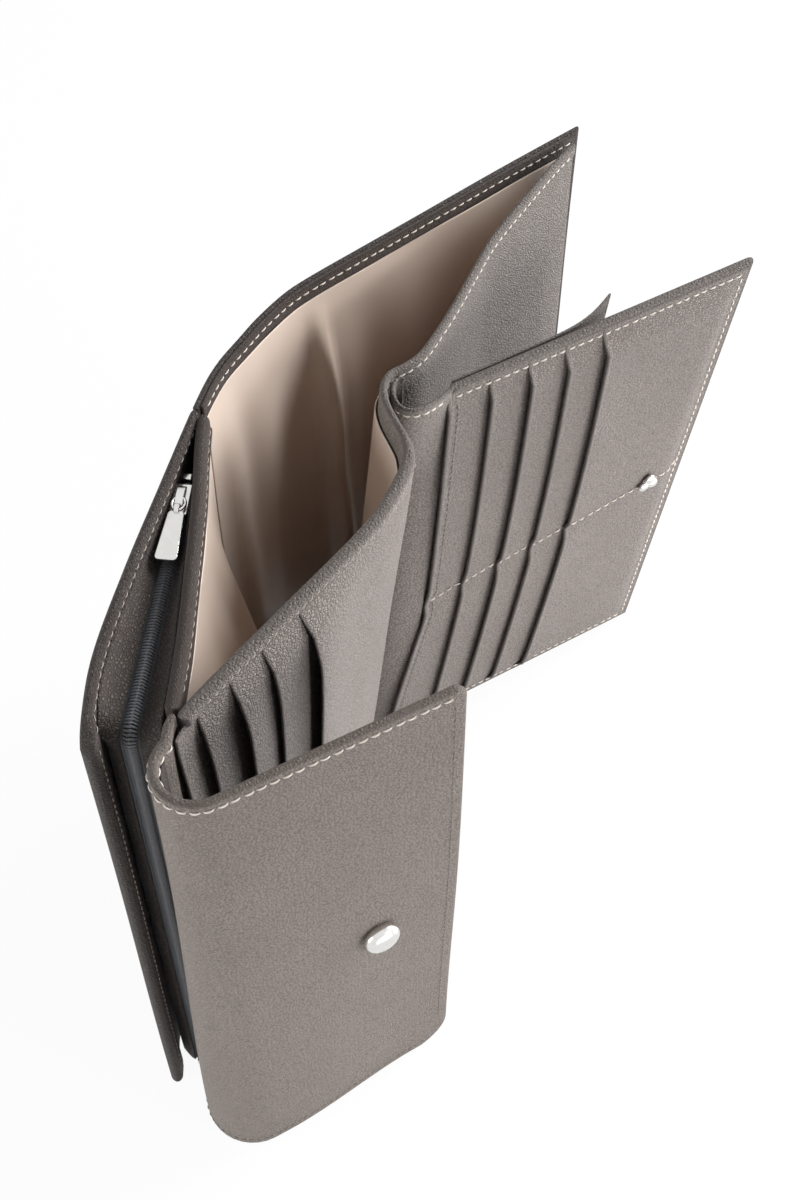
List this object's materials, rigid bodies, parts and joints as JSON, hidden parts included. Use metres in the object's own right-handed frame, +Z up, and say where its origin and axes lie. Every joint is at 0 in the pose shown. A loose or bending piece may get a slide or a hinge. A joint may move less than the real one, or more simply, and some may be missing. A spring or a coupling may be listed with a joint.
{
  "type": "travel wallet",
  "caption": "Leather travel wallet standing open, with a zipped outer pocket, a lined bill pocket, stacked card pockets, a loose card leaf and a snap flap.",
  "frame": {"origin": "middle of the footprint, on the table", "axes": "+Z up, +Y along the bill pocket's front wall from the flap's end to the cover's end, +X out of that wall's card side"},
  "size_m": [0.1106, 0.2434, 0.19],
  "materials": {
    "cover_leather": "pebbled taupe leather",
    "inner_leather": "pebbled taupe leather, lighter",
    "lining_satin": "champagne satin",
    "zip_tape": "woven charcoal tape",
    "zip_coil": "nylon coil",
    "nickel": "bright nickel plate"
  },
  "bodies": {
    "zip_panel": {"zip_outer_wall": "cover_leather", "zip_inner_wall": "cover_leather", "zip_lining_outer": "lining_satin", "zip_lining_inner": "lining_satin", "inner_wall_lining": "lining_satin", "inner_wall_facing": "cover_leather", "zip_pocket_floor": "lining_satin", "zip_tape_outer": "zip_tape", "zip_tape_inner": "zip_tape", "zip_coil_outer": "zip_coil", "zip_coil_inner": "zip_coil", "zip_top_stop": "nickel", "zip_bottom_stop": "nickel", "flap_root_tab": "cover_leather", "bill_floor_front": "lining_satin"},
    "spine": {"spine_panel": "cover_leather", "spine_lining": "lining_satin", "spine_facing": "cover_leather"},
    "cover": {"cover_panel": "cover_leather", "cover_lining": "lining_satin", "cover_facing": "cover_leather", "snap_stud": "nickel", "snap_stud_post": "nickel", "bill_floor_back": "lining_satin"},
    "pocket_wall_left": {"left_wall": "inner_leather", "left_wall_lining": "lining_satin", "left_card_pocket_1": "inner_leather", "left_card_pocket_2": "inner_leather", "left_card_pocket_3": "inner_leather", "left_card_pocket_4": "inner_leather", "left_card_pocket_5": "inner_leather"},
    "pocket_wall_right": {"right_wall": "inner_leather", "right_wall_lining": "lining_satin", "page_hinge_strip": "inner_leather"},
    "page": {"page_base": "inner_leather", "page_back_panel": "inner_leather", "page_back_pocket": "inner_leather", "page_card_pocket_1": "inner_leather", "page_card_pocket_2": "inner_leather", "page_card_pocket_3": "inner_leather", "page_card_pocket_4": "inner_leather", "page_card_pocket_5": "inner_leather", "page_stud": "nickel"},
    "flap": {"flap_outer": "cover_leather", "flap_lining": "cover_leather", "snap_cap": "nickel", "snap_socket": "nickel"},
    "slider": {"zip_slider": "nickel"},
    "pull": {"pull_ring": "nickel", "pull_tab": "nickel"}
  },
  "joints": [
    {"name": "spine_fold", "type": "hinge", "parent": "zip_panel", "child": "spine", "pos_m": [-0.05113, -0.0234, 0.095], "axis": [0, 0, 1], "range_deg": [-9.5, 0.5]},
    {"name": "cover_fold", "type": "hinge", "parent": "spine", "child": "cover", "pos_m": [-0.05053, 0.0234, 0.095], "axis": [0, 0, 1], "range_deg": [-9, 0]},
    {"name": "pocket_wall", "type": "hinge", "parent": "zip_panel", "child": "pocket_wall_left", "pos_m": [-0.00993, -0.1035, 0.095], "axis": [0, 0, 1], "range_deg": [-0.5, 4.33]},
    {"name": "pocket_fold", "type": "hinge", "parent": "pocket_wall_left", "child": "pocket_wall_right", "pos_m": [-0.02403, 0.0068, 0.095], "axis": [0, 0, 1], "range_deg": [-27.37, 0.5]},
    {"name": "page_turn", "type": "hinge", "parent": "pocket_wall_right", "child": "page", "pos_m": [-0.01543, 0.0152, 0.095], "axis": [0, 0, 1], "range_deg": [-30, 15]},
    {"name": "flap_fold", "type": "hinge", "parent": "zip_panel", "child": "flap", "pos_m": [-0.00043, -0.1118, 0.095], "axis": [0, 0, 1], "range_deg": [-100, 25]},
    {"name": "slider_run", "type": "slide", "parent": "zip_panel", "child": "slider", "axis": [0.3461, -0.9382, 0], "range_m": [0, 0.05]},
    {"name": "pull_swing", "type": "hinge", "parent": "slider", "child": "pull", "pos_m": [-0.0425, -0.04737, 0.1867], "axis": [-0.9382, -0.3461, 0], "range_deg": [0, 140]}
  ],
  "couplings": [
    {"joint": "spine_fold", "follows": "cover_fold", "ratio": 1},
    {"joint": "pocket_wall", "follows": "cover_fold", "ratio": -0.426},
    {"joint": "pocket_fold", "follows": "cover_fold", "ratio": 2.986}
  ]
}
